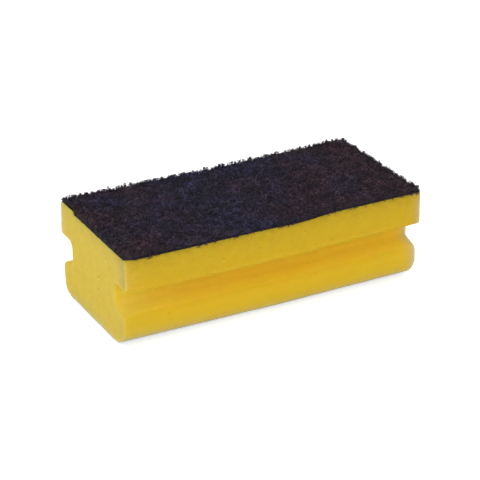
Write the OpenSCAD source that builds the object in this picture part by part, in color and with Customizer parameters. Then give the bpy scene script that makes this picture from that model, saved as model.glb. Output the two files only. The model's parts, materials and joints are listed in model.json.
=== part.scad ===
// Cleaning sponge: a block of soft foam with a finger groove cut along each long side,
// and a thin scouring pad of matted fibre bonded over its whole top face.
//
// X runs along the length, Y from the front side to the back side, Z up from the
// face that the sponge rests on. The origin is at the middle of the footprint.

/* [Foam block] */
// Length of the block and of the pad on it
block_length = 150; // [100:1:220]
// Width over the upper lobe, and of the pad on it
block_width = 70; // [60:1:110]
// Height of the upper lobe, from the groove's roof to the bonded face
upper_lobe_height = 15.2; // [10:0.1:25]
// Height of the groove at its floor, between its roof and the ledge
groove_height = 11.2; // [8:0.1:16]
// Height of the lower lobe at the groove's floor
lower_lobe_height = 18.6; // [17:0.1:28]
// Slope of the ledge below the groove, falling outwards, in degrees
ledge_slope = 15; // [5:1:18]

/* [Front side] */
// Depth of the front groove, measured in from the upper lobe's face
front_groove_depth = 13; // [10:0.1:14]
// How far the front of the lower lobe stands back from the upper lobe's face
front_lobe_setback = 3.1; // [0:0.1:3.5]
// Radius of the front heel, where the lower lobe turns under to the base
front_heel_radius = 11; // [1:0.1:11]

/* [Back side] */
// Depth of the back groove, measured in from the upper lobe's face
back_groove_depth = 11.2; // [10:0.1:14]
// How far the back of the lower lobe stands back from the upper lobe's face
back_lobe_setback = 1.3; // [0:0.1:3.5]
// Radius of the back heel, where the lower lobe turns under to the base
back_heel_radius = 5; // [1:0.1:11]

/* [Groove corners] */
// Radius of the upper lobe's lower edge
lip_radius = 1.8; // [0.5:0.1:3]
// Radius inside the groove, where its floor meets its roof
roof_fillet = 3.4; // [1:0.1:4]
// Radius inside the groove, where its floor meets the ledge
floor_fillet = 3.6; // [1:0.1:4]
// Radius of the ledge's outer edge
ledge_radius = 2.6; // [0.5:0.1:3]

/* [Scouring pad] */
// Thickness of the pad's mat
pad_thickness = 1.7; // [1:0.1:10]
// Length of the clipped corner along the pad's front edge
clip_length = 5; // [1:0.5:12]
// Width of the clipped corner along the pad's left edge
clip_width = 2; // [1:0.5:12]

/* [Hidden] */
$fn = 96;

foam_height = lower_lobe_height + groove_height + upper_lobe_height;
roof_level = lower_lobe_height + groove_height;
half_width = block_width / 2;

function unit(v) = v / norm(v);

// Positive where the outline turns left at a corner, on the way from one point to the next
function turn(before, corner, after) =
    cross(corner - before, after - corner);

// One long side of the section, seen from the left end: the corners from the top face down
// to the base, each as [distance from the middle plane, level, radius].
function side_corners(groove_depth, lobe_setback, heel_radius) =
    let (
        floor_at = half_width - groove_depth,
        lobe_at = half_width - lobe_setback,
        ledge_drop = (lobe_at - floor_at) * tan(ledge_slope)
    )
    [
        [half_width, foam_height, 0],
        [half_width, roof_level, lip_radius],
        [floor_at, roof_level, roof_fillet],
        [floor_at, lower_lobe_height, floor_fillet],
        [lobe_at, lower_lobe_height - ledge_drop, ledge_radius],
        [lobe_at, 0, heel_radius]
    ];

// What lies between a sharp corner and the arc that rounds it
module corner_tip(before, corner, after, radius) {
    to_before = unit(before - corner);
    to_after = unit(after - corner);
    half_angle = acos(to_before * to_after) / 2;
    reach = radius / tan(half_angle);
    centre = corner + unit(to_before + to_after) * radius / sin(half_angle);
    difference() {
        polygon([corner, corner + to_before * reach, centre, corner + to_after * reach]);
        translate(centre) circle(radius);
    }
}

// An outline that runs anticlockwise, with each corner rounded by its own radius:
// outer corners lose their tips, and inner corners are filled by theirs.
module rounded_outline(corners) {
    count = len(corners);
    points = [for (c = corners) [c[0], c[1]]];
    module tips(inner) {
        for (i = [0 : count - 1]) {
            before = points[(i + count - 1) % count];
            after = points[(i + 1) % count];
            if (corners[i][2] > 0 && (turn(before, points[i], after) < 0) == inner)
                corner_tip(before, points[i], after, corners[i][2]);
        }
    }
    difference() {
        union() {
            polygon(points);
            tips(inner = true);
        }
        tips(inner = false);
    }
}

// The block's section, with the front side on the left
module foam_section() {
    front = side_corners(front_groove_depth, front_lobe_setback, front_heel_radius);
    back = side_corners(back_groove_depth, back_lobe_setback, back_heel_radius);
    last = len(back) - 1;
    rounded_outline(concat(
        [for (c = front) [-c[0], c[1], c[2]]],
        [for (i = [last : -1 : 0]) back[i]]
    ));
}

// Stands a section up across the length and runs it from end to end
module along_length() {
    translate([-block_length / 2, 0, 0])
        rotate([90, 0, 90])
            linear_extrude(block_length) children();
}

module foam_body() {
    color([0.85, 0.70, 0.20]) along_length() foam_section();
}

// The mat follows the bonded face's edges, apart from the corner that was clipped in cutting
module scouring_pad() {
    left = -block_length / 2;
    color([0.17, 0.15, 0.18])
        translate([0, 0, foam_height])
            linear_extrude(pad_thickness)
                polygon([
                    [left + clip_length, -half_width],
                    [-left, -half_width],
                    [-left, half_width],
                    [left, half_width],
                    [left, -half_width + clip_width]
                ]);
}

foam_body();
scouring_pad();
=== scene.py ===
# %% [markdown]
# # A cleaning sponge with a scouring pad
#
# The frame holds two plain solids: a foam block with a finger groove along each long side, and
# the thin pad bonded to its top. This lesson gives both their real surface. The foam gets soft
# cut edges, the slight bend of a light block, open pores, and painted light and shade in its
# colour, which deepens in the grooves. The pad gets a dark mat, and then thousands of curly
# fibres, laid in layers.

# %% Load the frame
import json
import math
from types import SimpleNamespace

import bmesh
import bpy
import numpy as np
from mathutils import Matrix, Vector, noise
from mathutils.bvhtree import BVHTree


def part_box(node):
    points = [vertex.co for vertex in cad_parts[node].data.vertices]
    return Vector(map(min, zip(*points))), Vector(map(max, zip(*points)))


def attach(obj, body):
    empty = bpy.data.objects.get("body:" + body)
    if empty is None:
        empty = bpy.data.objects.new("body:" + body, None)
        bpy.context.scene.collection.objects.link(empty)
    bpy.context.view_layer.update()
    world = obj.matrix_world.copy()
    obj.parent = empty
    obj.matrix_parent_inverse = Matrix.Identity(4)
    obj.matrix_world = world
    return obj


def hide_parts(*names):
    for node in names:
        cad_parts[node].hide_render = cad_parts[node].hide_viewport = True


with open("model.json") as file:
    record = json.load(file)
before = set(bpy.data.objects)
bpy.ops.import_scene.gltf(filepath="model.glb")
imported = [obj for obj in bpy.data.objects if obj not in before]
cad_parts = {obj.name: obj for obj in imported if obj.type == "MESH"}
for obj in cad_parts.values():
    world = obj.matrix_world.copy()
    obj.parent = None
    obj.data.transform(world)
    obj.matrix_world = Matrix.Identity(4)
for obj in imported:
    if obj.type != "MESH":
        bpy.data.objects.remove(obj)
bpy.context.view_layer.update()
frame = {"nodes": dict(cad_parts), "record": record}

MM = 0.001
WELD = 0.001 * MM
foam_low, foam_high = (np.array(corner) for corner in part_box("foam_body"))
pad_low, pad_high = (np.array(corner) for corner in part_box("scouring_pad"))
grooves = {hole["name"]: np.array(hole["box_m"])
           for hole in frame["record"]["physics"]["openings"]}
print("foam block, mm:", np.round((foam_high - foam_low) / MM, 1))
print("pad, mm:", np.round((pad_high - pad_low) / MM, 1))

# %% [markdown]
# ## How the block lies
#
# A real block of foam is never quite straight. This one rests on the middle of its base and
# both ends lift a little. Its bonded face dips along the middle, steps up near the right end
# and swells a little at the back. The lift could be sculpted by hand, but the foam, the mat and
# every fibre have to agree, so it is one formula that all of them use: a lift for the base, a
# lift for the bonded face, and a straight blend from one to the other by height.

# %% The lift of the base and of the bonded face
RISE_SOFTNESS = 8 * MM
BASE_RISE_LEFT, BASE_RISE_RIGHT, BASE_RIGHT_FROM = 0.0122, 0.0060, 4 * MM
BACK_RISE_LEFT, BACK_LEFT_FROM = 0.0130, 2 * MM
BACK_RISE_RIGHT, BACK_RIGHT_FROM = 0.0090, 18 * MM
BACK_HUMP, BACK_HUMP_AT, BACK_HUMP_WIDTH = 0.4 * MM, 36 * MM, 14 * MM
FRONT_STEP, STEP_FROM, STEP_TO = 0.75 * MM, 14 * MM, 31 * MM
FRONT_DIP, DIP_AT, DIP_WIDTH = 0.45 * MM, 9 * MM, 11 * MM
FRONT_RAISE = 0.16 * MM
FRONT_END, FRONT_END_FROM, FRONT_END_TO = 0.12 * MM, -62 * MM, -50 * MM


def soft_ramp(distance):
    """A straight rise that starts at zero, with its start rounded off."""
    return (np.sqrt(distance ** 2 + RISE_SOFTNESS ** 2) + distance - RISE_SOFTNESS) / 2


def bell(distance, width):
    """1 in the middle, and less and less on both sides."""
    return np.exp(-(distance / width) ** 2)


def smooth_step(value, start, stop):
    t = np.clip((value - start) / (stop - start), 0, 1)
    return t * t * (3 - 2 * t)


def base_lift(x):
    return (BASE_RISE_LEFT * soft_ramp(-x)
            + BASE_RISE_RIGHT * soft_ramp(x - BASE_RIGHT_FROM))


def bonded_lift(x, y):
    front = (FRONT_STEP * smooth_step(x, STEP_FROM, STEP_TO) + FRONT_DIP
             - FRONT_DIP * bell(x - DIP_AT, DIP_WIDTH)
             + FRONT_RAISE + FRONT_END * (1 - smooth_step(x, FRONT_END_FROM, FRONT_END_TO)))
    back = (BACK_RISE_LEFT * soft_ramp(BACK_LEFT_FROM - x)
            + BACK_RISE_RIGHT * soft_ramp(x - BACK_RIGHT_FROM)
            + BACK_HUMP * bell(x - BACK_HUMP_AT, BACK_HUMP_WIDTH))
    towards_back = np.clip((y - foam_low[1]) / (foam_high[1] - foam_low[1]), 0, 1)
    return front + (back - front) * towards_back


def lay(points):
    """Moves points from the straight frame to where the bent block has them."""
    x, y, z = points.T
    share = np.clip(z / foam_high[2], 0, 1)
    moved = points.copy()
    moved[:, 2] += base_lift(x) * (1 - share) + bonded_lift(x, y) * share
    return moved


for x in (-70, -30, 0, 30, 70):
    print("at x", x, "mm: base", round(float(base_lift(x * MM)) / MM, 2), "front",
          round(float(bonded_lift(x * MM, foam_low[1])) / MM, 2), "back",
          round(float(bonded_lift(x * MM, foam_high[1])) / MM, 2))

# %% [markdown]
# ## Small helpers
#
# The same few steps come back for each piece: read a mesh's points as an array, write them
# back, and turn a mesh into a piece that rides on the frame.

# %% Helpers for meshes
def points_of(mesh):
    points = np.empty(len(mesh.vertices) * 3)
    mesh.vertices.foreach_get("co", points)
    return points.reshape(-1, 3)


def set_points(mesh, points):
    mesh.vertices.foreach_set("co", points.ravel())
    mesh.update()


def set_mask(mesh, name, values):
    mask = mesh.attributes.new(name, "FLOAT", "POINT")
    mask.data.foreach_set("value", values)


def add_object(name, data):
    made = bpy.data.objects.new(name, data)
    bpy.context.scene.collection.objects.link(made)
    return made


def apply_modifiers(made):
    """Swaps the object's mesh for the one its modifiers make."""
    graph = bpy.context.evaluated_depsgraph_get()
    made.data = bpy.data.meshes.new_from_object(made.evaluated_get(graph))
    made.modifiers.clear()


def merged_copy(node):
    """The CAD node's mesh as one closed skin, for shaping."""
    mesh = frame["nodes"][node].data.copy()
    shape = bmesh.new()
    shape.from_mesh(mesh)
    bmesh.ops.remove_doubles(shape, verts=shape.verts, dist=WELD)
    shape.to_mesh(mesh)
    shape.free()
    mesh.materials.clear()
    return mesh


def count_triangles(mesh):
    mesh.calc_loop_triangles()
    return len(mesh.loop_triangles)

# %% [markdown]
# ## The foam block
#
# Foam is cut with a blade or a hot wire, so the faces are flat and the edges are sharp to the
# eye but soft to the touch. A bevel would give every edge the same neat radius. Remeshing the
# solid into a fine even skin and smoothing it a little gives the uneven softness of cut foam,
# and leaves points everywhere for the pores and the waviness.

# %% Turn the solid into a fine, even skin
SKIN_SIZE = 0.75 * MM
SMOOTHING, EDGE_SOFTENING = 0.5, 2

foam = add_object("sponge_foam", merged_copy("foam_body"))
remesh = foam.modifiers.new("skin", "REMESH")
remesh.mode = "VOXEL"
remesh.voxel_size = SKIN_SIZE
apply_modifiers(foam)

shape = bmesh.new()
shape.from_mesh(foam.data)


def soften(verts, passes):
    for _ in range(passes):
        bmesh.ops.smooth_vert(shape, verts=verts, factor=SMOOTHING,
                              use_axis_x=True, use_axis_y=True, use_axis_z=True)


soften(shape.verts, EDGE_SOFTENING)
print("foam skin:", len(shape.faces), "faces")

# %% [markdown]
# Smoothing also shrinks the edges, so each point is now drawn back to the solid's own surface,
# and only most of the way where it has moved far. That surface has narrow flat facets where it
# is round, which show as lines along the grooves, so the sides are smoothed once more.

# %% Draw the skin back to the solid
EDGE_RETURN, SHRUNK_FROM, SHRUNK_TO = 0.8, 0.05 * MM, 0.2 * MM
SIDE_SMOOTHING, END_MARGIN = 3, 2.5 * MM

solid = bmesh.new()
solid.from_mesh(merged_copy("foam_body"))
solid_surface = BVHTree.FromBMesh(solid)
solid.free()
skin = np.array([vert.co for vert in shape.verts])
nearest = np.array([solid_surface.find_nearest(vert.co)[0] for vert in shape.verts])
shrunk = smooth_step(np.linalg.norm(nearest - skin, axis=1), SHRUNK_FROM, SHRUNK_TO)
skin += (nearest - skin) * (1 - (1 - EDGE_RETURN) * shrunk)[:, None]
print("farthest from the solid, mm:",
      round(np.linalg.norm(nearest - skin, axis=1).max() / MM, 2))
for vert, place in zip(shape.verts, skin):
    vert.co = place
side_x, side_z = foam_high[0] - END_MARGIN, foam_high[2] - END_MARGIN
soften([vert for vert in shape.verts if abs(vert.co.x) < side_x and vert.co.z < side_z],
       SIDE_SMOOTHING)

# %% [markdown]
# ## Open pores
#
# Here and there a large bubble was cut open. Each one is a dent with its own depth. The skin
# is too coarse for a dent of a millimetre, so the faces round each pore are divided first. The
# larger pores on the left end and on the front are listed one by one, each with two coordinates
# and a radius in millimetres. The rest are scattered.

# %% Choose the pores and divide the skin round them
rng = np.random.default_rng(seed=7)
LEFT_PORES = [(-5, 24.6, 0.9), (-4, 18, 0.9), (-14.5, 37.5, 0.8), (12, 19, 0.6), (10.5, 16.5, 0.6),
              (-15, 27, 0.6), (-17.5, 33, 0.5), (4, 6, 0.6), (-16, 10, 0.5)]
FRONT_PORES = [(-34, 38.4, 0.6), (-27.2, 36.4, 0.75), (-52, 41.2, 0.5), (-8.9, 37.4, 0.6),
               (1.5, 34.5, 0.5), (-43, 39.5, 0.45), (14, 40.5, 0.5), (28.4, 33, 0.6),
               (11, 12, 0.5), (-52, 10, 0.5)]
SCATTERED_PORES, SCATTERED_RADII = 60, (0.35, 0.75)
LOWER_LOBE_Y, UPPER_LOBE_FROM = 31.9 * MM, 30 * MM
TOP_MARGIN = 2 * MM


def scattered_pores(shape, count):
    """Places on the skin picked at random, as [x, y, z, radius]."""
    shape.faces.ensure_lookup_table()
    chosen = rng.choice(len(shape.faces), count, replace=False)
    return [[*shape.faces[i].calc_center_median(), rng.uniform(*SCATTERED_RADII) * MM]
            for i in chosen if shape.faces[i].calc_center_median().z < foam_high[2] - TOP_MARGIN]


pores = [[foam_low[0], y * MM, z * MM, size * MM] for y, z, size in LEFT_PORES]
for x, z, size in FRONT_PORES:
    y = foam_low[1] if z * MM > UPPER_LOBE_FROM else -LOWER_LOBE_Y
    pores.append([x * MM, y, z * MM, size * MM])
pores += scattered_pores(shape, SCATTERED_PORES)
centres = np.array([pore[:3] for pore in pores])
radii = np.array([pore[3] for pore in pores])

DIVIDED_REACH = 1.9
places = np.array([edge.verts[0].co for edge in shape.edges])
gaps = np.linalg.norm(places[:, None, :] - centres[None, :, :], axis=2) - radii * DIVIDED_REACH
close = np.nonzero((gaps < SKIN_SIZE / 2).any(axis=1))[0]
shape.edges.ensure_lookup_table()
bmesh.ops.subdivide_edges(shape, edges=[shape.edges[i] for i in close], cuts=2,
                          use_grid_fill=True)
print(len(pores), "pores,", len(shape.faces), "faces after dividing round them")

# %% [markdown]
# The waviness of the cut is a slow noise, and the pores are bowls that sink along the skin's
# own normal. Each pore also gets a mask of painted shade, and the larger ones a painted highlight
# on the lower rim, where light from above would catch it. Everything is measured on the straight
# block, before it is bent.

# %% Measure the waviness, the pores, their painted shade and their painted highlights
CUT_WAVE, CUT_WAVE_SIZE = 0.10 * MM, 9 * MM
GRAIN_WAVE, GRAIN_WAVE_SIZE, GRAIN_PLACE = 0.05 * MM, 2.2 * MM, Vector((31, 7, 3))
PORE_DEPTH, PORE_ROUNDNESS, PORE_SHADE_REACH = 0.55, 0.7, 1.25
GLINT_DROP, GLINT_SIZE, GLINT_REACH = 1.1, 0.5, 1.3
GLINT_FROM, GLINT_FULL = 0.35 * MM, 0.8 * MM

shape.normal_update()
shape.verts.ensure_lookup_table()
straight = np.array([vert.co for vert in shape.verts])
normals = np.array([vert.normal for vert in shape.verts])
wave = np.array([
    CUT_WAVE * noise.noise(vert.co / CUT_WAVE_SIZE)
    + GRAIN_WAVE * noise.noise(vert.co / GRAIN_WAVE_SIZE + GRAIN_PLACE)
    for vert in shape.verts])
sink, pore_shade_mask, glint = np.zeros((3, len(straight)))
for centre, radius in zip(centres, radii):
    reach = np.linalg.norm(straight - centre, axis=1) / radius
    bowl = np.clip(1 - reach ** 2, 0, 1)
    sink = np.maximum(sink, bowl ** PORE_ROUNDNESS * radius * PORE_DEPTH)
    pore_shade_mask = np.maximum(pore_shade_mask, np.clip(PORE_SHADE_REACH - reach, 0, 1))
    rim = centre - (0, 0, GLINT_DROP * radius)
    off_rim = np.linalg.norm(straight - rim, axis=1) / radius
    strength = smooth_step(radius, GLINT_FROM, GLINT_FULL)
    glint = np.maximum(glint, strength * np.clip(GLINT_REACH - off_rim / GLINT_SIZE, 0, 1))
shape.to_mesh(foam.data)
shape.free()
print("deepest pore, mm:", round(sink.max() / MM, 2))

# %% [markdown]
# ## Where each colour goes
#
# Foam shows light that has travelled inside it, and the renderer finds only part of that, so
# most of the colour below is painted light and shade that depends on where a point lies: far
# inside a groove, on the sloping ledge, by a cut edge or just under the pad. Painting these by
# hand would take a picture. Masks that are measured on the block need none, and each can be
# tuned by itself. First come the distances that they are made from. Both grooves have the same
# heights, so the front one's mouth serves for the two.

# %% Distances on the straight block
mouth_low = grooves["front_groove_mouth"][0][2]
mouth_high = grooves["front_groove_mouth"][1][2]
BACK_LOBE_Y = 33.7 * MM
LEDGE_OUTER_Z, LEDGE_TILT = 16.2 * MM, math.tan(math.radians(15))
END_NORMAL = (0.4, 0.8)
BAND_LOW, BAND_HIGH = (-6 * MM, -3 * MM), (-1 * MM, 1.5 * MM)
HOLLOW_DEPTH = (0.2 * MM, 2.6 * MM)
LOBE_BLEND = (-0.5 * MM, 1.5 * MM)


def rise_from(z, level, blend):
    """0 below this level and 1 above it, with a blend given as two heights from it."""
    return smooth_step(z, level + blend[0], level + blend[1])


def places_on_block(points, normals):
    """Distances, and shares from 0 to 1, of every point. The band is the groove's height."""
    x, y, z = points.T
    at = SimpleNamespace(x=x, z=z, front=y < 0)
    face = np.where(at.front, LOWER_LOBE_Y, BACK_LOBE_Y)
    at.depth = face - np.abs(y)
    at.above_ledge = z - LEDGE_OUTER_Z - at.depth * LEDGE_TILT
    at.side = np.where((z > mouth_high) & at.front, foam_high[1], face) - np.abs(y)
    at.from_left = np.clip(x - foam_low[0], 0, None)
    at.from_right = np.clip(foam_high[0] - x, 0, None)
    at.from_end = np.clip(foam_high[0] - np.abs(x), 0, None)
    at.from_top = np.clip(foam_high[2] - z, 0, None)
    at.end = smooth_step(np.abs(normals[:, 0]), *END_NORMAL)
    at.left_end = at.end * (x < 0)
    at.slant = normals[:, 0] ** 2
    at.upper_lobe = rise_from(z, mouth_high, LOBE_BLEND)
    at.band = rise_from(z, mouth_low, BAND_LOW) * (1 - rise_from(z, mouth_high, BAND_HIGH))
    at.hollow = at.band * smooth_step(at.depth, *HOLLOW_DEPTH)
    return at


def fade(distance, reach):
    """1 at the start, falling off over this reach."""
    return np.exp(-distance / reach)

# %% [markdown]
# Inside a groove the light bounces from wall to wall, and these masks paint that light and
# shade into the colour. The wall over the ledge gets the deepest painted shade and bounce light,
# the ledge itself is painted lighter, and near the open ends painted light stands for daylight
# that comes in from the side.

# %% Masks of the grooves
LEDGE_DEPTH, LEDGE_HEIGHT = (0.4 * MM, 4.1 * MM), (0.2 * MM, 2.4 * MM)
DEEP_AT, DEEP_WIDTH, DEEP_DEPTH = 0.2 * MM, 1.9 * MM, (0.5 * MM, 6.5 * MM)
CREASE_WIDTH, CREASE_DEPTH = 1.5 * MM, (3.5 * MM, 9.5 * MM)
BROW_DEPTH, BROW_WIDTH = -0.1 * MM, 1.0 * MM
LIP_WIDTH = 1.15 * MM
LIT_REACH, LIT_START, LIT_FROM = 15 * MM, 0.6, (0.5 * MM, 5 * MM)
LIT_ON_WALL = 0.55
RIM_DUSK_REACH, RIGHT_RIM_REACH = 4 * MM, 6 * MM


def groove_masks(at):
    off_end = 1 - at.end
    hollow = at.hollow * off_end
    ledge = at.band * (1 - smooth_step(at.above_ledge, *LEDGE_HEIGHT))
    deep = at.band * bell(at.above_ledge - DEEP_AT, DEEP_WIDTH)
    crease = at.band * bell(at.above_ledge, CREASE_WIDTH)
    brow = at.band * bell(at.depth - BROW_DEPTH, BROW_WIDTH)
    lit = fade(at.from_left, LIT_REACH)
    lit *= LIT_START + (1 - LIT_START) * smooth_step(at.from_left, *LIT_FROM)
    # All of these paint light or shade: bounce light in the hollow, on the ledge and at the
    # groove's ends, and shade over the ledge, in the inner corner, at the ledge's outer edge,
    # under the upper lip and by the rim of the left notch.
    return {
        "hollow": hollow,
        "deep": deep * smooth_step(at.depth, *DEEP_DEPTH) * off_end,
        "ledge": ledge * smooth_step(at.depth, *LEDGE_DEPTH) * off_end,
        "crease": crease * smooth_step(at.depth, *CREASE_DEPTH) * off_end,
        "brow": brow * off_end * (at.z < mouth_low),
        "lip": bell(at.z - mouth_high, LIP_WIDTH) * (at.depth < 0) * off_end,
        "lit_end": hollow * lit * (LIT_ON_WALL + (1 - LIT_ON_WALL) * ledge),
        "rim_dusk": hollow * fade(at.from_left, RIM_DUSK_REACH),
        "right_rim": hollow * fade(at.from_right, RIGHT_RIM_REACH),
    }

# %% [markdown]
# A cut end is paler than the sides, because its open cells face the light; that pale is partly
# the foam's own and partly painted light, which also reaches in a little from the ends. The
# block's cut edges and its foot fray, and their whitish rim is partly ragged cells and partly
# painted sheen. Just under the pad the foam is darker: painted shade where the black pad keeps
# light out, with blotches of glue. The lower lobe gets painted bounce light, and the rounded
# edges of the ends, the left end by the front, the near corner and the lower lobe by the left
# end get painted shade.

# %% Masks of the ends, the lobes and the edges
ARRIS_GAIN = 8
CORNER_SIDE, CORNER_BELOW, STRIP_REACH = (3 * MM, 10 * MM), 0.35, 1.5 * MM
HEEL_FROM, HEEL_AT, HEEL_REACH = 1.3 * MM, (-45 * MM, -15 * MM), (2.0 * MM, 1.6 * MM)
RIGHT_REACH_BELOW, RIGHT_REACH_ABOVE, RIGHT_FROM = 1.7 * MM, 1.4 * MM, (0, 40 * MM)
BACK_EDGE_REACH, FOOT_REACH = 1.3 * MM, 1.6 * MM
NEAR_END_REACH, NEAR_RIGHT_SHARE = 10 * MM, 0.2
LOBE_TOP, LOBE_EDGE, LOBE_END_REACH = (-4 * MM, -1 * MM), (-2.5 * MM, 0), 8 * MM
END_TOP_REACH, END_DUSK_REACH = 6 * MM, 11 * MM
BOND_REACH, BOND_LOSS_ON_END = 3.1 * MM, 0.6
SMOOTH_FROM, SMOOTH_SHARE = 4 * MM, 0.7


def edge_masks(at):
    off_end = 1 - at.end
    corner = at.left_end * (1 - smooth_step(at.side, *CORNER_SIDE))
    corner *= (CORNER_BELOW + (1 - CORNER_BELOW) * at.upper_lobe) * (1 - at.hollow)
    strip = fade(at.from_left, STRIP_REACH) * at.upper_lobe * off_end
    heel = fade(np.clip(at.z - HEEL_FROM, 0, None), np.interp(at.x, HEEL_AT, HEEL_REACH))
    right_reach = np.where(at.z < mouth_low, RIGHT_REACH_BELOW, RIGHT_REACH_ABOVE)
    right = fade(at.from_end, right_reach) * smooth_step(at.x, *RIGHT_FROM) * at.front
    back_edge = fade(np.clip(at.side, 0, None), BACK_EDGE_REACH) * (1 - at.front) * (at.x < 0)
    lobe_edge = 1 - rise_from(at.z, mouth_low, LOBE_EDGE)
    smooth_part = 1 - smooth_step(at.z, mouth_low + SMOOTH_FROM, mouth_high)
    # Most of these paint light or shade: the ends partly painted light, the lower lobe painted
    # bounce light, painted shade on the rounded edges of the ends, the left end, the corner and
    # the lower lobe by the left end, painted sheen on the fraying rims, and painted shade with
    # glue under the pad.
    return {
        "end_face": at.end,
        "arris": np.clip(ARRIS_GAIN * at.slant * (1 - at.slant), 0, 1) * (1 - at.upper_lobe),
        "near_end": fade(at.from_end, NEAR_END_REACH) * np.where(at.x < 0, 1, NEAR_RIGHT_SHARE),
        "lower_lobe": 1 - rise_from(at.z, mouth_low, LOBE_TOP),
        "lobe_end": lobe_edge * off_end * at.front * fade(at.from_left, LOBE_END_REACH),
        "end_top": at.left_end * fade(at.from_top, END_TOP_REACH),
        "end_dusk": at.left_end * fade(at.side, END_DUSK_REACH) * at.front,
        "corner": np.maximum(corner, strip) * at.front,
        "frayed": np.maximum(heel, right) * off_end,
        "frayed_end": np.maximum(fade(at.z, FOOT_REACH), back_edge) * at.end,
        "near_bond": fade(at.from_top, BOND_REACH) * (1 - BOND_LOSS_ON_END * at.end),
        "grainy": np.maximum(1 - SMOOTH_SHARE * smooth_part, at.end),
    }


CALM_GROOVE = 0.8
at = places_on_block(straight, normals)
masks = groove_masks(at)
masks.update(edge_masks(at))
masks.update(pore=pore_shade_mask, glint=glint)
calm = 1 - CALM_GROOVE * masks["hollow"]
moved = straight + normals * (wave * calm - sink)[:, None]
for name, values in masks.items():
    print(name, "covers", round(float(values.mean()) * 100, 1), "% of the points")

# %% [markdown]
# At the far left corner a thin flap of foam stands up beside the pad, where the pad was cut a
# little short. Near the left end the back's upper lip leans: out at its foot, in at its top.
# Both are small moves of the points that are already there, each faded in and out by a mask.

# %% The flap and the leaning lip
FLAP_FROM, FLAP_BLEND = 20.5 * MM, 0.4 * MM
FLAP_RISE, FLAP_ROOT, FLAP_FOOT = 1.35 * MM, 1 * MM, 0.1 * MM
FLAP_SOLID, FLAP_THICK = 0.3 * MM, 0.9 * MM
LEAN_OUT, LEAN_IN, LEAN_REACH = 0.7 * MM, 0.4 * MM, 22 * MM
LEAN_START, LEAN_FULL = 2 * MM, 33 * MM
LEAN_Y = (28 * MM, 34 * MM)


def beside_flap(y):
    return smooth_step(y, FLAP_FROM - FLAP_BLEND, FLAP_FROM + FLAP_BLEND)


def flap_and_lean(points, moved):
    """Adds to moved, by where the points lie on the straight block."""
    x, y, z = points.T
    top, left = foam_high[2], foam_low[0]
    flap = beside_flap(y) * smooth_step(z, top - FLAP_ROOT, top - FLAP_FOOT)
    flap *= 1 - smooth_step(x, left + FLAP_SOLID, left + FLAP_THICK)
    lean = np.interp(z, [mouth_high - LEAN_START, LEAN_FULL, top], [0, LEAN_OUT, -LEAN_IN])
    lean *= smooth_step(y, *LEAN_Y) * fade(x - left, LEAN_REACH)
    moved[:, 2] += FLAP_RISE * flap
    moved[:, 1] += lean

# %% [markdown]
# The front's upper lip sags all along, except at its left end, and the front groove closes a
# little towards the right end. The left end was cut a little askew and the right end swells.
# Each of these is a row of places and a row of moves in millimetres, with straight runs between.

# %% The sagging lip, the closing groove and the two ends, then bend the block
SAG_AT, SAG = (-75, -72, -60, 66, 75), (0.0, 0.4, 1.3, 1.2, 1.0)
SAG_FROM, SAG_ABOVE, SAG_Y = 4 * MM, 2 * MM, (22 * MM, 33 * MM)
CLOSING_WALL, CLOSING_LEDGE, CLOSING_REACH = 1.3 * MM, 0.5 * MM, 9 * MM
WALL_LOW, WALL_HIGH, WALL_Y = 3 * MM, 6 * MM, (24 * MM, 32 * MM)
LEDGE_LOW, LEDGE_HIGH = (-8 * MM, -1 * MM), (2 * MM, 6 * MM)
SKEW_REACH, SKEW_Y = 16 * MM, (0, 28 * MM)
SKEW_AT, LEFT_SKEW = (0, 5, 11, 19, 45), (0.0, 0.5, 0.75, 0.35, 0.4)
SWELL_AT, RIGHT_SWELL = (0, 6, 16, 30, 42), (0.25, 0.5, 0.5, 0.57, 0.52)


def millimetres(value, places, moves):
    return np.interp(value / MM, places, moves) * MM


def sag_and_close(points, moved):
    x, y, z = points.T
    low, high = mouth_low, mouth_high
    lip = smooth_step(z, low + SAG_FROM, high)
    lip *= (1 - smooth_step(z, high + SAG_ABOVE, foam_high[2])) * smooth_step(-y, *SAG_Y)
    moved[:, 2] -= millimetres(x, SAG_AT, SAG) * lip
    closing = fade(foam_high[0] - x, CLOSING_REACH) * (y < 0)
    wall = smooth_step(z, low, low + WALL_LOW) * (1 - smooth_step(z, high - WALL_HIGH, high))
    wall *= 1 - smooth_step(-y, *WALL_Y)
    ledge = rise_from(z, low, LEDGE_LOW) * (1 - rise_from(z, low, LEDGE_HIGH))
    left_back = fade(x - foam_low[0], SKEW_REACH) * smooth_step(y, *SKEW_Y)
    moved[:, 0] -= millimetres(z, SKEW_AT, LEFT_SKEW) * left_back
    swell = fade(foam_high[0] - x, SKEW_REACH)
    moved[:, 0] += millimetres(z, SWELL_AT, RIGHT_SWELL) * swell
    moved[:, 1] -= CLOSING_WALL * closing * wall
    moved[:, 2] += CLOSING_LEDGE * closing * ledge


flap_and_lean(straight, moved)
sag_and_close(straight, moved)
laid = lay(moved)
laid[:, 2] = np.maximum(laid[:, 2], 0)
set_points(foam.data, laid)
for name, values in masks.items():
    set_mask(foam.data, name, values)
foam.data.shade_smooth()
print("foam block:", count_triangles(foam.data), "triangles")

# %% [markdown]
# ## Helpers for materials
#
# A material is a tree of nodes. One helper adds a node with its settings and fills its
# sockets. The others are the few nodes of plain sums that come back all the time.

# %% Helpers for node trees
def fill(tree, socket, value):
    """Links another node's output into the socket, or sets the socket's own value."""
    if isinstance(value, bpy.types.NodeSocket):
        tree.links.new(value, socket)
    else:
        socket.default_value = value


def add_node(tree, kind, sockets=None, **settings):
    made = tree.nodes.new(kind)
    for name, value in settings.items():
        setattr(made, name, value)
    for name, value in (sockets or {}).items():
        fill(tree, made.inputs[name], value)
    return made


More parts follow.
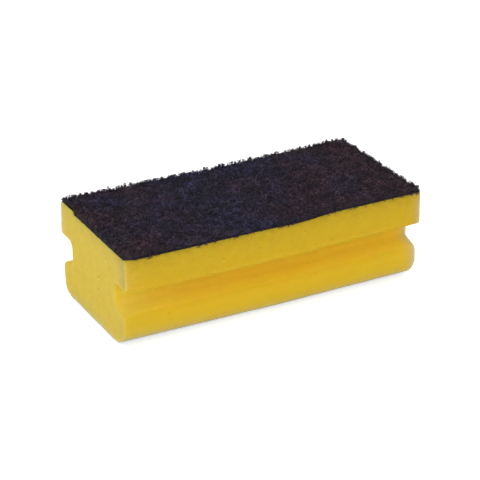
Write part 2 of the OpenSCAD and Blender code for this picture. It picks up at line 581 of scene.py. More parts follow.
def mix_colours(tree, factor, first, second):
    """Sockets 0, 6 and 7 of the Mix node are its factor and its two colours."""
    made = add_node(tree, "ShaderNodeMix", {0: factor, 6: first, 7: second}, data_type="RGBA")
    return made.outputs[2]


def calculate(tree, operation, first, second=0.5):
    made = add_node(tree, "ShaderNodeMath", {0: first, 1: second}, operation=operation)
    return made.outputs[0]


def map_range(tree, value, low, high, to_low=0.0, to_high=1.0):
    made = add_node(tree, "ShaderNodeMapRange", {
        "Value": value, "From Min": low, "From Max": high, "To Min": to_low, "To Max": to_high})
    return made.outputs[0]


def read_mask(tree, name):
    return add_node(tree, "ShaderNodeAttribute", attribute_name=name).outputs["Fac"]


def mask_share(tree, name, share):
    return calculate(tree, "MULTIPLY", read_mask(tree, name), share)

# %% [markdown]
# Each finish needs a material with the place on the object at hand, a noise for its patches, a
# bump for what is finer than the mesh, and plain values on the shader itself.

# %% Helpers for finishes
def new_material(name):
    material = bpy.data.materials.new(name)
    material.use_nodes = True
    tree = material.node_tree
    where = add_node(tree, "ShaderNodeTexCoord").outputs["Object"]
    return material, tree, tree.nodes["Principled BSDF"], where


def set_finish(shader, **values):
    """Plain values of the shader, whose sockets are named with spaces."""
    for name, value in values.items():
        shader.inputs[name.replace("_", " ")].default_value = value


def add_bump(tree, shader, height, strength, distance):
    bump = add_node(tree, "ShaderNodeBump",
                    {"Height": height, "Strength": strength, "Distance": distance})
    tree.links.new(bump.outputs["Normal"], shader.inputs["Normal"])


def grain(tree, where, size, detail=2.0, roughness=0.5):
    """A noise from 0 to 1 whose features are about this size, in metres."""
    made = add_node(tree, "ShaderNodeTexNoise", {
        "Vector": where, "Scale": 1 / size, "Detail": detail, "Roughness": roughness})
    return made.outputs["Fac"]

# %% [markdown]
# ## The foam's finish
#
# The cut faces are yellow and dull. Light goes a few millimetres into foam, so edges look
# paler and the grooves, where it bounces from wall to wall, turn orange. The renderer finds
# part of that by itself through subsurface scattering. The rest is painted light and shade: a
# colour that follows the masks, laid over the plain yellow one after another as a painter glazes,
# each with its share.

# %% Colours of the foam
# Besides the plain yellow, most of these colours paint light or shade: the lower lobe's painted
# bounce light, the pale ends' partly painted light, painted shade in the grooves, at the corner
# and in the pores, a painted highlight on the pores, and painted shade with glue under the pad.
# The darker shade colour also serves the foam's own mottle.
FOAM_YELLOW = (0.612, 0.409, 0.0126, 1)
FOAM_LOWER_BOUNCE_LIT = (0.652, 0.438, 0.0144, 1)
FOAM_PALE_AND_LIT = (0.725, 0.520, 0.062, 1)
FOAM_GROOVE_SHADE = (0.815, 0.424, 0.0235, 1)
FOAM_CORNER_SHADE = (0.485, 0.405, 0.105, 1)
FOAM_MOTTLE_AND_PORE_SHADE = (0.36, 0.235, 0.012, 1)
FOAM_BLEACHED = (0.66, 0.49, 0.12, 1)
FOAM_PORE_HIGHLIGHT = (0.95, 0.82, 0.20, 1)
FOAM_UNDER_PAD_SHADE_AND_GLUE = (0.33, 0.22, 0.010, 1)
FOAM_LAYERS = [
    # Painted bounce light in the grooves, with painted shade deepest over the ledge and in the
    # inner corner, a lighter painted ledge, and painted shade at the ledge's outer edge.
    ("hollow", 1.0, (0.760, 0.530, 0.0255, 1)),
    ("deep", 1.0, FOAM_GROOVE_SHADE),
    ("ledge", 0.8, (0.860, 0.628, 0.0290, 1)),
    ("crease", 0.36, FOAM_GROOVE_SHADE),
    ("brow", 0.35, (0.589, 0.387, 0.0155, 1)),
    # Painted light in the grooves near the left end, painted shade by the rim of the left notch,
    # and a weaker painted bounce near the right end.
    ("lit_end", 0.85, (0.87, 0.74, 0.110, 1)),
    ("rim_dusk", 0.45, (0.59, 0.49, 0.055, 1)),
    ("right_rim", 0.8, (0.71, 0.50, 0.012, 1)),
    # The cut ends are paler, partly their own colour and partly painted light, and painted light
    # reaches in near the ends.
    ("end_face", 1.0, FOAM_PALE_AND_LIT),
    ("near_end", 0.32, FOAM_PALE_AND_LIT),
    # Painted shade on the lower lobe by the left end, and on the rounded edges of the ends below
    # the lip.
    ("lobe_end", 0.6, (0.50, 0.42, 0.020, 1)),
    ("arris", 0.8, (0.50, 0.40, 0.050, 1)),
    ("end_top", 0.08, (0.60, 0.47, 0.40, 1)),
    # Painted shade on the left end towards the front, and a greyer painted shade at the near
    # corner.
    ("end_dusk", 0.12, FOAM_CORNER_SHADE),
    ("corner", 0.75, FOAM_CORNER_SHADE),
    # Painted shade along the lower edge of the upper lip.
    ("lip", 0.9, (0.49, 0.312, 0.0030, 1)),
    # The whitish rims at the foot and the cut edges: partly ragged cells, partly painted sheen.
    ("frayed", 1.0, (0.40, 0.46, 0.46, 1)),
    ("frayed_end", 1.0, (0.67, 0.54, 0.25, 1)),
]
foam_material, tree, shader, where = new_material("cut_foam")
# The lower lobe is painted a little lighter: painted bounce light from the floor.
colour = mix_colours(tree, read_mask(tree, "lower_lobe"), FOAM_YELLOW, FOAM_LOWER_BOUNCE_LIT)
for name, share, tint in FOAM_LAYERS:
    colour = mix_colours(tree, mask_share(tree, name, share), colour, tint)
print(len(FOAM_LAYERS), "layers over the plain yellow")

# %% [markdown]
# Then the foam gets its mottle: a blotchy painted shade with glue under the pad, faint clouds and
# speckles, pale worn spots, and the painted shade and painted highlight of each pore. The cells
# are far smaller than the skin's faces, so they are bump.

# %% Mottle, cells and finish of the foam
CELL_SIZE = 0.55 * MM
BLOTCH_SIZE, BLOTCH_SPREAD, BLOTCH_SHARE = 2.8 * MM, (0.35, 0.65), (0.45, 0.95)
CLOUD_SIZE, PUFF_SIZE, CLOUD_SPREAD, CLOUD_SHARE = 5 * MM, 1.9 * MM, (0.35, 0.65), (0.0, 0.10)
SPECKLE_SPREAD, SPECKLE_SHARE = (0.0, 0.6), (0.10, 0.0)
SPOT_SIZE, SPOT_SPREAD, SPOT_SHARE = 1.3 * MM, (0.45, 0.7), (0.0, 0.10)
PORE_SHADE, GLINT_SHARE = 0.3, 0.45
FINE_SIZE, CELL_RELIEF, FINE_RELIEF = 0.9 * MM, 0.6, 0.7
CELL_BUMP, CELL_BUMP_HEIGHT = 0.6, 0.25 * MM

cells = add_node(tree, "ShaderNodeTexVoronoi", {"Vector": where, "Scale": 1 / CELL_SIZE},
                 feature="F1").outputs["Distance"]
blotch = map_range(tree, grain(tree, where, BLOTCH_SIZE, 3), *BLOTCH_SPREAD, *BLOTCH_SHARE)
# Just under the pad: painted shade where the black pad keeps light out, in blotches with glue.
near_bond = calculate(tree, "MULTIPLY", blotch, read_mask(tree, "near_bond"))
colour = mix_colours(tree, near_bond, colour, FOAM_UNDER_PAD_SHADE_AND_GLUE)
grainy = read_mask(tree, "grainy")
clouds = map_range(tree, grain(tree, where, CLOUD_SIZE), *CLOUD_SPREAD, *CLOUD_SHARE)
puffs = map_range(tree, grain(tree, where, PUFF_SIZE), *CLOUD_SPREAD, *CLOUD_SHARE)
speckles = map_range(tree, cells, *SPECKLE_SPREAD, *SPECKLE_SHARE)
spots = map_range(tree, grain(tree, where, SPOT_SIZE, 3), *SPOT_SPREAD, *SPOT_SHARE)
for share, tint in ((clouds, FOAM_MOTTLE_AND_PORE_SHADE), (puffs, FOAM_MOTTLE_AND_PORE_SHADE), (speckles, FOAM_MOTTLE_AND_PORE_SHADE),
                    (spots, FOAM_BLEACHED)):
    colour = mix_colours(tree, calculate(tree, "MULTIPLY", share, grainy), colour, tint)
# Painted shade in each pore, and a painted highlight on the lower rim of the larger ones.
colour = mix_colours(tree, mask_share(tree, "pore", PORE_SHADE), colour, FOAM_MOTTLE_AND_PORE_SHADE)
colour = mix_colours(tree, mask_share(tree, "glint", GLINT_SHARE), colour, FOAM_PORE_HIGHLIGHT)
tree.links.new(colour, shader.inputs["Base Color"])

relief = calculate(tree, "ADD", calculate(tree, "MULTIPLY", cells, CELL_RELIEF),
                   calculate(tree, "MULTIPLY", grain(tree, where, FINE_SIZE, 4), FINE_RELIEF))
add_bump(tree, shader, relief, CELL_BUMP, CELL_BUMP_HEIGHT)
set_finish(shader, Roughness=0.95, Specular_IOR_Level=0.15,
           Subsurface_Weight=1.0, Subsurface_Radius=(1.0, 0.6, 0.2), Subsurface_Scale=8 * MM,
           Sheen_Weight=0.04, Sheen_Roughness=0.5, Sheen_Tint=(1.0, 0.97, 0.85, 1))

foam.data.materials.clear()
foam.data.materials.append(foam_material)
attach(foam, "root")
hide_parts("foam_body")
print("foam material:", len(tree.nodes), "nodes")

# %% [markdown]
# ## The mat of the pad
#
# A scouring pad is a web of curly fibres stuck together with resin. Fibres alone would let
# the foam show between them, so a thin, lumpy slab lies under them and stands for the
# dense part of the web. First the clipped corner is measured, and a helper draws the pad's left
# edge in beside the flap and dents its right edge a little, as on the real pad.

# %% Outline of the pad
EDGE_TOUCH = 0.01 * MM
PAD_SHORT_CUT = 0.6 * MM
PAD_DENT, PAD_DENT_AT, PAD_DENT_WIDTH = 0.62 * MM, -11 * MM, 26 * MM

pad_points = points_of(merged_copy("scouring_pad"))
clip_x = pad_points[pad_points[:, 1] < pad_low[1] + EDGE_TOUCH][:, 0].min()
clip_y = pad_points[pad_points[:, 0] < pad_low[0] + EDGE_TOUCH][:, 1].min()
pad_size = pad_high - pad_low
print("clipped corner, mm:", round((clip_x - pad_low[0]) / MM, 1), "by",
      round((clip_y - pad_low[1]) / MM, 1))


def trim(points):
    """Draws the pad's left edge in beside the flap, and dents its right edge."""
    low, high = pad_low[0], pad_high[0]
    y = points[:, 1]
    left = low + PAD_SHORT_CUT * beside_flap(y)
    right = high - PAD_DENT * bell(y - PAD_DENT_AT, PAD_DENT_WIDTH)
    trimmed = points.copy()
    trimmed[:, 0] = left + (points[:, 0] - low) / (high - low) * (right - left)
    return trimmed

# %% [markdown]
# The slab starts from a grid over the pad's outline: a grid of size 0.5 is 1 wide, so scaling
# gives it the pad's own size. One cut takes off the clipped corner, and an extrusion gives it
# its thickness. It sinks a little into the foam, as the resin does.

# %% Mat
MAT_GRID = 1.25 * MM
MAT_TOP_DROP, BOND_OVERLAP = 0.55 * MM, 0.12 * MM
MAT_LUMPS, MAT_LUMP_SIZE = 0.38 * MM, 2.0 * MM
FINE_LUMPS, FINER_BY = 0.5, 2.3

slab = bmesh.new()
columns, rows = (round(side / MAT_GRID) for side in pad_size[:2])
bmesh.ops.create_grid(slab, x_segments=columns, y_segments=rows, size=0.5)
bmesh.ops.scale(slab, vec=(pad_size[0], pad_size[1], 1), verts=slab.verts)
bmesh.ops.translate(slab, vec=(0, 0, pad_low[2] - BOND_OVERLAP), verts=slab.verts)
clip_normal = Vector((clip_y - pad_low[1], clip_x - pad_low[0], 0))
whole_grid = slab.verts[:] + slab.edges[:] + slab.faces[:]
bmesh.ops.bisect_plane(slab, geom=whole_grid, plane_co=(clip_x, pad_low[1], pad_low[2]),
                       plane_no=clip_normal, clear_inner=True)
mat_height = pad_size[2] + BOND_OVERLAP - MAT_TOP_DROP
raised = bmesh.ops.extrude_face_region(slab, geom=slab.faces[:])
top = [item for item in raised["geom"] if isinstance(item, bmesh.types.BMVert)]
bmesh.ops.translate(slab, vec=(0, 0, mat_height), verts=top)
for vert in top:
    lump = noise.noise(vert.co / MAT_LUMP_SIZE)
    lump += FINE_LUMPS * noise.noise(vert.co * FINER_BY / MAT_LUMP_SIZE)
    vert.co.z += MAT_LUMPS * lump
bmesh.ops.recalc_face_normals(slab, faces=slab.faces)
mat_mesh = bpy.data.meshes.new("scouring_mat")
slab.to_mesh(mat_mesh)
slab.free()
set_points(mat_mesh, lay(trim(points_of(mat_mesh))))
mat_mesh.shade_smooth()
mat = add_object("scouring_mat", mat_mesh)
print("mat:", count_triangles(mat_mesh), "triangles")

# %% [markdown]
# ## The fibres
#
# Each fibre is a thin tube along a curly path. A curve with a bevel makes the tube, so the
# script only works out the path: a walk that turns left and right as it goes, and rises and
# dips a little. Arrays hold all the fibres of a layer at once, which is fast and short to write.

# %% Paths of the fibres
SWING_PACE, HEADING_DRIFT = (0.7, 1.5), 0.16
DEEPEST_HANG = 1.0 * MM
FULL_TURN = (0, 2 * math.pi)


def draw(span, shape):
    """Random numbers, spread evenly over this span."""
    return rng.uniform(*span, shape)


def ways(headings):
    return np.column_stack([np.cos(headings), np.sin(headings)])


def curly_paths(starts, headings, lengths, crimps, levels):
    """Walks of equal steps whose heading swings; levels gives each point's height."""
    count, points = levels.shape
    step = lengths / (points - 1)
    swing = draw(FULL_TURN, count)
    pace = draw(SWING_PACE, count)
    drift = rng.normal(0, HEADING_DRIFT, count)
    paths = np.empty((count, points, 3))
    paths[:, :, 2] = levels
    place = starts.copy()
    heading = headings.copy()
    for i in range(points):
        paths[:, i, :2] = place
        heading = heading + crimps * np.sin(swing + pace * i) + drift
        place = place + step[:, None] * ways(heading)
    return paths


def fit_to_pad(paths, overhang):
    """Holds the fibres to the pad's outline, then trims and lays them as the mat is."""
    low = pad_low[:2] - overhang[:, None, None]
    high = pad_high[:2] + overhang[:, None, None]
    paths[:, :, :2] = np.clip(paths[:, :, :2], low, high)
    along = (paths[:, :, 0] - pad_low[0]) / (clip_x - pad_low[0])
    across = (paths[:, :, 1] - pad_low[1]) / (clip_y - pad_low[1])
    short = np.clip(1 - along - across, 0, None) / 2
    paths[:, :, 0] += short * (clip_x - pad_low[0])
    paths[:, :, 1] += short * (clip_y - pad_low[1])
    paths[:, :, 2] = np.maximum(paths[:, :, 2], pad_low[2] - DEEPEST_HANG)
    return lay(trim(paths.reshape(-1, 3))).reshape(paths.shape)

# %% [markdown]
# The tube's section is a triangle, which is round enough at this size and keeps thousands of
# fibres within reason. One curve object holds all the paths of a layer, so Blender makes their
# tubes in one go.

# %% Tubes along the paths
SECTION_ANGLES = (90, 210, 330)

profile_curve = bpy.data.curves.new("fibre_profile", "CURVE")
profile_spline = profile_curve.splines.new("POLY")
profile_spline.points.add(len(SECTION_ANGLES) - 1)
for point, angle in zip(profile_spline.points, SECTION_ANGLES):
    point.co = (math.cos(math.radians(angle)), math.sin(math.radians(angle)), 0, 1)
profile_spline.use_cyclic_u = True
profile = add_object("fibre_profile", profile_curve)


def tubes_along(name, paths, radii):
    """One mesh of capped tubes, made by a curve with the profile as its bevel."""
    curve = bpy.data.curves.new(name, "CURVE")
    curve.dimensions = "3D"
    curve.bevel_mode = "OBJECT"
    curve.bevel_object = profile
    curve.use_fill_caps = True
    for path, radius in zip(paths, radii):
        spline = curve.splines.new("POLY")
        spline.points.add(len(path) - 1)
        spline.points.foreach_set("co", np.column_stack([path, np.ones(len(path))]).ravel())
        spline.points.foreach_set("radius", np.full(len(path), radius))
    source = add_object(name + "_paths", curve)
    graph = bpy.context.evaluated_depsgraph_get()
    mesh = bpy.data.meshes.new_from_object(source.evaluated_get(graph))
    bpy.data.objects.remove(source)
    mesh.name = name
    return mesh

# %% [markdown]
# The curve caps each tube with faces of its own, so the points are merged there to close it. A
# path with a step that is too short would fold its tube, and is left out. The number of open
# edges is printed, because every fibre should be closed.

# %% Closed fibres as one piece
SHORTEST_STEP = 0.1 * MM


def fibre_piece(name, paths, radii, shades):
    """One piece of many closed fibres, each with its own thickness and shade."""
    steps = np.linalg.norm(np.diff(paths, axis=1), axis=2)
    whole = steps.min(axis=1) > SHORTEST_STEP
    paths, radii, shades = paths[whole], radii[whole], shades[whole]
    mesh = tubes_along(name, paths, radii)
    set_mask(mesh, "shade", np.repeat(shades, len(mesh.vertices) // len(paths)))
    tubes = bmesh.new()
    tubes.from_mesh(mesh)
    bmesh.ops.remove_doubles(tubes, verts=tubes.verts, dist=WELD)
    bmesh.ops.recalc_face_normals(tubes, faces=tubes.faces)
    open_edges = sum(1 for edge in tubes.edges if len(edge.link_faces) != 2)
    tubes.to_mesh(mesh)
    tubes.free()
    mesh.shade_smooth()
    print(name + ":", len(paths), "fibres,", count_triangles(mesh), "triangles,",
          open_edges, "open edges")
    return add_object(name, mesh)

# %% [markdown]
# ## Laying the web
#
# One layer of long fibres lies flat and covers the mat. Over it come thousands of tight curls
# that stand up from the web, all over the face, which give it its rough look against the
# light. Spans that are multiplied by MM where they are used are in millimetres.

# %% The flat layer and the standing curls
FLAT_POINTS, LOOP_POINTS = 9, 7
FLAT_COUNT, FLAT_LEVEL, FLAT_SCATTER = 3000, -0.40 * MM, 0.1 * MM
FLAT_LENGTH, FLAT_SWELL, FLAT_WAVE = (7 * MM, 13 * MM), 0.25 * MM, (0.6, 1.3)
FLAT_SET_BACK, FLAT_CRIMP, FLAT_OVERHANG = 0.35, (0.35, 0.95), (-0.2, 0.2)
THICK_FIBRE, THIN_FIBRE = (0.10 * MM, 0.16 * MM), (0.08 * MM, 0.13 * MM)
CURL_COUNT, CURL_FOOT, CURL_LENGTH = 5000, (-0.7, -0.4), (1.4, 3.6)
CURL_LOWEST, CURL_SPREAD, CURL_RARITY = 0.6, 1.2, 1.6
CURL_CRIMP, CURL_OVERHANG = (0.6, 1.5), (-0.1, 0.3)
ARCH_SPAN = (0.5, 1.0)


def flat_layer(name, shades):
    count = FLAT_COUNT
    starts = rng.uniform(pad_low[:2], pad_high[:2], (count, 2))
    headings = draw(FULL_TURN, count)
    lengths = draw(FLAT_LENGTH, count)
    starts -= FLAT_SET_BACK * lengths[:, None] * ways(headings)
    rise = draw(FULL_TURN, (count, 1)) + draw(FLAT_WAVE, (count, 1)) * np.arange(FLAT_POINTS)
    levels = (pad_high[2] + FLAT_LEVEL + rng.normal(0, FLAT_SCATTER, (count, 1))
              + FLAT_SWELL * np.sin(rise))
    paths = curly_paths(starts, headings, lengths, draw(FLAT_CRIMP, count), levels)
    paths = fit_to_pad(paths, draw(FLAT_OVERHANG, count) * MM)
    return fibre_piece(name, paths, draw(THICK_FIBRE, count), shades(count))


def arches(count, foot, height):
    """Heights of loops: up and down again, or with one end left standing."""
    span = draw(ARCH_SPAN, (count, 1)) * np.linspace(0, 1, LOOP_POINTS)
    return foot[:, None] + height[:, None] * np.sin(math.pi * span)


def standing_curls(name, shades):
    """Tight curls that rise from the web and bend back into it, or are left standing."""
    count = CURL_COUNT
    starts = rng.uniform(pad_low[:2], pad_high[:2], (count, 2))
    height = (CURL_LOWEST + CURL_SPREAD * draw((0, 1), count) ** CURL_RARITY) * MM
    levels = arches(count, pad_high[2] + draw(CURL_FOOT, count) * MM, height)
    paths = curly_paths(starts, draw(FULL_TURN, count), draw(CURL_LENGTH, count) * MM,
                        draw(CURL_CRIMP, count), levels)
    paths = fit_to_pad(paths, draw(CURL_OVERHANG, count) * MM)
    return fibre_piece(name, paths, draw(THIN_FIBRE, count), shades(count))


# Most fibres are dark; the rare light ones are partly their own tone and partly painted highlight.
FLAT_SHADES, CURL_RARE_LIGHT, FUZZ_RARE_LIGHT = (0, 0.4), 2, 3
web = [
    flat_layer("web_low", lambda count: draw(FLAT_SHADES, count)),
    standing_curls("web_curls", lambda count: draw((0, 1), count) ** CURL_RARE_LIGHT),
    standing_curls("web_fuzz", lambda count: draw((0, 1), count) ** FUZZ_RARE_LIGHT),
]

# %% [markdown]
# A fringe of short curls runs along the cut edges, where the blade has pulled fibres out, most
# of them in clumps. Half of them stand up from the rim. The rest lie along the edge, and most
# clumps of the front edge hang down over the foam. Each fibre gets a place on a walk round the
# pad, and from that its side and its distance along it.

# %% The fringe
FRINGE_COUNT, TUFT_SHARE, CLUMPED_SHARE = 4600, 0.5, 0.75
# The fringe keeps to the darkest shades: painted shade along the pad's cut edges.
TUFT_FIBRE, FRINGE_IN_SHADE = (0.10 * MM, 0.17 * MM), (0, 0.25)
CLUMPS, CLUMP_SPREAD = 560, 0.20 * MM
CLUMP_RISE, CLUMP_HANG, CLUMP_VARIETY = (0.3, 2.3), (-2.0, 0.7), (0.7, 1.05)
LONE_RISE, LONE_HANG = (0.4, 1.6), (-0.3, 0.9)
RIGHT_SIDE, RIGHT_RISE_SHARE = 1, 0.8
FRONT_SIDE, HANG_FROM, HANGING_LENGTH_SHARE = 0, 8 * MM, 0.75
FRINGE_INSET, FOOT_SHARE, TUFT_FOOT, FOOT_MARGIN = (-0.1, 1.0), (0, 0.8), 0.4 * MM, 0.3 * MM
TUFT_LENGTH, LYING_LENGTH = (0.8, 1.3), (1.0, 2.4)
FRINGE_CRIMP, FRINGE_OVERHANG = (0.5, 1.2), (0.05, 0.4)


def round_the_pad(walk):
    """The side, the distance along it, the place and the way inwards for each walk."""
    legs = np.cumsum([pad_size[0], pad_size[1], pad_size[0], pad_size[1]])
    side = np.searchsorted(legs, walk)
    along = walk - np.concatenate([[0], legs[:3]])[side]
    corners = np.array([pad_low[:2], [pad_high[0], pad_low[1]], pad_high[:2],
                        [pad_low[0], pad_high[1]]])
    forward = np.array([[1, 0], [0, 1], [-1, 0], [0, -1]])
    inward = np.array([[0, 1], [-1, 0], [0, -1], [1, 0]])
    return side, along, corners[side] + forward[side] * along[:, None], inward[side]


def edge_fringe(name, count):
    around = 2 * (pad_size[0] + pad_size[1])
    clump = rng.integers(0, CLUMPS, count)
    clump_at = draw((0, around), CLUMPS)
    clump_rise, clump_hang = draw(CLUMP_RISE, CLUMPS), draw(CLUMP_HANG, CLUMPS)
    clumped = draw((0, 1), count) < CLUMPED_SHARE
    walk = np.where(clumped, clump_at[clump] + rng.normal(0, CLUMP_SPREAD, count),
                    draw((0, around), count)) % around
    side, along, places, inward = round_the_pad(walk)
    starts = places + inward * draw(FRINGE_INSET, count)[:, None] * MM
    headings = draw(FULL_TURN, count)
    tuft = draw((0, 1), count) < TUFT_SHARE
    foot = pad_low[2] + draw(FOOT_SHARE, count) * (pad_size[2] - FOOT_MARGIN)
    foot = np.where(tuft, pad_high[2] - TUFT_FOOT, foot)
    rise = np.where(clumped, clump_rise[clump] * draw(CLUMP_VARIETY, count),
                    draw(LONE_RISE, count)) * np.where(side == RIGHT_SIDE, RIGHT_RISE_SHARE, 1)
    hanging = clumped & (side == FRONT_SIDE) & (along > HANG_FROM)
    hang = np.where(hanging, clump_hang[clump], draw(LONE_HANG, count))
    levels = arches(count, foot, np.where(tuft, rise, hang) * MM)
    lengths = np.where(tuft, draw(TUFT_LENGTH, count), draw(LYING_LENGTH, count)) * MM
    lengths *= np.where(hanging & ~tuft, HANGING_LENGTH_SHARE, 1)
    paths = curly_paths(starts, headings, lengths, draw(FRINGE_CRIMP, count), levels)
    paths = fit_to_pad(paths, draw(FRINGE_OVERHANG, count) * MM)
    return fibre_piece(name, paths, draw(TUFT_FIBRE, count), draw(FRINGE_IN_SHADE, count))


web.append(edge_fringe("edge_fringe", FRINGE_COUNT))
bpy.data.objects.remove(profile)

# %% [markdown]
# ## The pad's finish
#
# Fibre and mat share one tint: nearly black, warmer in some places and bluer in others, as
# dyed web is. It is bluest a little left of the middle, along a line that leans, and bluer
# towards the back. Two slow noises fade it and darken it in patches. It is a node group, so both
# materials place it with their own colours.

# %% Tint group
BLUEST_AT, BLUE_LEAN, BLUER_TO_BACK = -14 * MM, 0.3, 1.6
BLUE_HALF_WIDTH, BLUE_FADE = 40 * MM, 0.13
PATCH_SIZE, PATCH_SPREAD, TINT_DETAIL = 26 * MM, (0.22, 0.52), 3
FADED_SIZE, FADED_SPREAD, FADED_SHARE = 15 * MM, (0.4, 0.65), (0.0, 0.45)
WORN_SIZE, WORN_SPREAD, WORN_SHARE = 5 * MM, (0.36, 0.64), (0.72, 0.0)
WEB_DARKEST = (0.004, 0.003, 0.005, 1)


def blue_share(group, where):
    """Patches of noise, less far from the bluest line and more towards the back."""
    patches = grain(group, where, PATCH_SIZE, TINT_DETAIL)
    place = add_node(group, "ShaderNodeSeparateXYZ", {"Vector": where})
    lean = calculate(group, "MULTIPLY", place.outputs["Y"], BLUE_LEAN)
    bluest = calculate(group, "ADD", lean, BLUEST_AT)
    aside = calculate(group, "SUBTRACT", place.outputs["X"], bluest)
    aside = calculate(group, "ABSOLUTE", calculate(group, "DIVIDE", aside, BLUE_HALF_WIDTH))
    loss = calculate(group, "MULTIPLY", aside, BLUE_FADE)
    towards_back = calculate(group, "MULTIPLY", place.outputs["Y"], BLUER_TO_BACK)
    blend = calculate(group, "ADD", calculate(group, "SUBTRACT", patches, loss), towards_back)
    return map_range(group, blend, *PATCH_SPREAD)


def make_tint_group():
    group = bpy.data.node_groups.new("web_tint", "ShaderNodeTree")
    group.interface.new_socket("Vector", in_out="INPUT", socket_type="NodeSocketVector")
    for name in ("Warm", "Cool", "Faded"):
        group.interface.new_socket(name, in_out="INPUT", socket_type="NodeSocketColor")
    group.interface.new_socket("Colour", in_out="OUTPUT", socket_type="NodeSocketColor")
    inside = group.nodes.new("NodeGroupInput").outputs
    outside = group.nodes.new("NodeGroupOutput").inputs
    where = inside["Vector"]
    colour = mix_colours(group, blue_share(group, where), inside["Warm"], inside["Cool"])
    faded = map_range(group, grain(group, where, FADED_SIZE, TINT_DETAIL),
                      *FADED_SPREAD, *FADED_SHARE)
    colour = mix_colours(group, faded, colour, inside["Faded"])
    worn = map_range(group, grain(group, where, WORN_SIZE, TINT_DETAIL),
                     *WORN_SPREAD, *WORN_SHARE)
    group.links.new(mix_colours(group, worn, colour, WEB_DARKEST), outside["Colour"])
    return group


tint_group = make_tint_group()


def web_tint(tree, where, warm, cool, faded):
    made = add_node(tree, "ShaderNodeGroup", node_tree=tint_group)
    for name, value in (("Vector", where), ("Warm", warm), ("Cool", cool), ("Faded", faded)):
        fill(tree, made.inputs[name], value)
    return made.outputs["Colour"]


print("tint group:", len(tint_group.nodes), "nodes")

# %% [markdown]
# The mat is matt resin with a little light on its strands. The fibres are lighter and catch more
# of the light. Each has its own shade from 0 to 1, and most are dark; the few lightest are partly
# their own tone and partly painted highlight.

# %% Materials of the mat and of the fibres
RESIN_TINTS = ((0.0110, 0.0062, 0.0085, 1), (0.0068, 0.0066, 0.0140, 1),
               (0.0080, 0.0075, 0.0095, 1))
RESIN_STRAND, STRAND_SIZE, STRAND_SPREAD = (0.018, 0.014, 0.021, 1), 0.7 * MM, (0.4, 0.75)
FIBRE_TINTS = ((0.0245, 0.0118, 0.0170, 1), (0.0140, 0.0125, 0.0315, 1),
               (0.0170, 0.0150, 0.0195, 1))
LIGHTEST_FIBRE, GRIT_SIZE = 9.0, 0.25 * MM

mat_material, tree, shader, where = new_material("web_resin")
tint = web_tint(tree, where, *RESIN_TINTS)
strands = grain(tree, where, STRAND_SIZE, detail=3, roughness=0.7)
resin = mix_colours(tree, map_range(tree, strands, *STRAND_SPREAD), tint, RESIN_STRAND)
tree.links.new(resin, shader.inputs["Base Color"])
add_bump(tree, shader, strands, strength=0.8, distance=0.5 * MM)
set_finish(shader, Roughness=0.85, Specular_IOR_Level=0.15)

fibre_material, tree, shader, where = new_material("web_fibre")
tint = web_tint(tree, where, *FIBRE_TINTS)
# Fibres up to nine times as light as the tint: partly their own tone, partly painted highlight.
lighter = map_range(tree, read_mask(tree, "shade"), 0, 1, 1, LIGHTEST_FIBRE)
light = add_node(tree, "ShaderNodeVectorMath", {0: tint, "Scale": lighter}, operation="SCALE")
tree.links.new(light.outputs[0], shader.inputs["Base Color"])
add_bump(tree, shader, grain(tree, where, GRIT_SIZE), strength=0.4, distance=0.05 * MM)
set_finish(shader, Roughness=0.6, Specular_IOR_Level=0.3)

mat.data.materials.append(mat_material)
for piece in web:
    piece.data.materials.clear()
    piece.data.materials.append(fibre_material)
for piece in [mat, *web]:
    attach(piece, "root")
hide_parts("scouring_pad")
print("pad pieces:", [piece.name for piece in (mat, *web)])

# %% [markdown]
# ## The studio
#
# The block stands on a plain pale floor under a large soft lamp, with a second one in front on
# the left, in a bright room. Light Path tells the camera's rays from the others, so the floor
# and the room can look whiter than they shine on the block, and the floor still shows its soft
# shadow.

# %% Floor and room
FLOOR_HALF = 3.0
FLOOR_GREY, FLOOR_LIFT, ROOM_LIGHT, WHITE = 0.86, 0.52, 0.75, 1.0


def seen_directly(tree):
    """1 for rays from the camera, from mirrors and through glass, and 0 for the others."""
    path = add_node(tree, "ShaderNodeLightPath").outputs
    seen = calculate(tree, "MAXIMUM", path["Is Camera Ray"], path["Is Glossy Ray"])
    return calculate(tree, "MAXIMUM", seen, path["Is Transmission Ray"])


floor_shape = bmesh.new()
bmesh.ops.create_grid(floor_shape, x_segments=1, y_segments=1, size=FLOOR_HALF)
floor_mesh = bpy.data.meshes.new("studio_floor")
floor_shape.to_mesh(floor_mesh)
floor_shape.free()
floor = add_object("studio_floor", floor_mesh)

floor_material, tree, shader, where = new_material("studio_white")
set_finish(shader, Base_Color=(FLOOR_GREY, FLOOR_GREY, FLOOR_GREY, 1), Roughness=1.0,
           Specular_IOR_Level=0.0, Emission_Color=(1, 1, 1, 1))
floor_glow = calculate(tree, "MULTIPLY", seen_directly(tree), FLOOR_LIFT)
tree.links.new(floor_glow, shader.inputs["Emission Strength"])
floor.data.materials.append(floor_material)

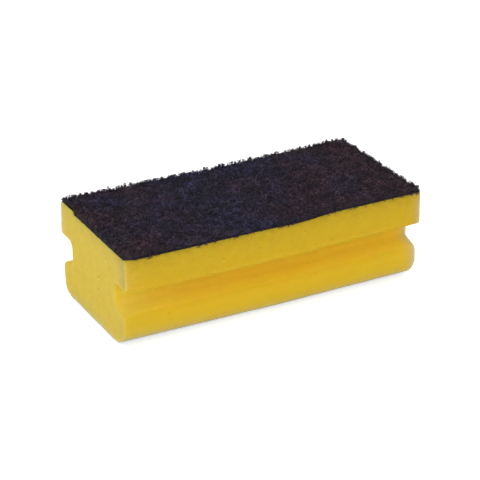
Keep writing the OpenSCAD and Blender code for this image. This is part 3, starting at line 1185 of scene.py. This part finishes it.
world = bpy.data.worlds.new("studio_room")
bpy.context.scene.world = world
world.use_nodes = True
tree = world.node_tree
tree.nodes.clear()
strength = map_range(tree, seen_directly(tree), 0, 1, ROOM_LIGHT, WHITE)
room = add_node(tree, "ShaderNodeBackground", {"Color": (1, 1, 1, 1), "Strength": strength})
add_node(tree, "ShaderNodeOutputWorld", {"Surface": room.outputs[0]})
print("floor", 2 * FLOOR_HALF, "m wide, room light", ROOM_LIGHT)

# %% [markdown]
# A large lamp gives soft shadows. Both lamps point at the middle of the block's base.

# %% Lamps
def soft_lamp(name, place, size, power):
    lamp = bpy.data.lights.new(name, "AREA")
    lamp.shape = "SQUARE"
    lamp.size = size
    lamp.energy = power
    made = add_object(name, lamp)
    made.location = place
    made.rotation_euler = (-Vector(place)).to_track_quat("-Z", "Y").to_euler()
    print(name + ":", size, "m wide,", power, "W")


soft_lamp("overhead_softbox", (-0.25, -0.25, 1.3), size=0.9, power=2)
soft_lamp("front_softbox", (-0.6, -1.2, 0.55), size=1.0, power=8)

# %% [markdown]
# ## The camera
#
# The view is from the front left, about 26 degrees above the floor, through a long lens. The
# values below are the ones at which the block's edges fall where they should.

# %% Camera
LENS, SENSOR_WIDTH, NEAREST, FARTHEST = 146.8, 36, 0.01, 20
AZIMUTH, ELEVATION, ROLL = -27.594, 25.635, -0.525
DISTANCE = 0.9119
SHIFT_RIGHT, SHIFT_UP = -0.744 * MM, 3.508 * MM
AIM = Vector((0, 0, 20.4 * MM))

azimuth, elevation, roll = (math.radians(v) for v in (AZIMUTH, ELEVATION, ROLL))
backwards = Vector((math.sin(azimuth) * math.cos(elevation),
                    -math.cos(azimuth) * math.cos(elevation), math.sin(elevation)))
level_right = (-backwards).cross(Vector((0, 0, 1))).normalized()
level_up = level_right.cross(-backwards)
right = math.cos(roll) * level_right + math.sin(roll) * level_up
up = -math.sin(roll) * level_right + math.cos(roll) * level_up
camera_data = bpy.data.cameras.new("camera")
camera_data.lens = LENS
camera_data.sensor_width = SENSOR_WIDTH
camera_data.clip_start, camera_data.clip_end = NEAREST, FARTHEST
camera = add_object("camera", camera_data)
place = AIM + backwards * DISTANCE + right * SHIFT_RIGHT + up * SHIFT_UP
turn = Matrix((right, up, backwards)).transposed()
camera.matrix_world = Matrix.Translation(place) @ turn.to_4x4()
bpy.context.scene.camera = camera
bpy.context.scene.view_settings.view_transform = "Standard"
print("camera at", [round(v, 3) for v in place])
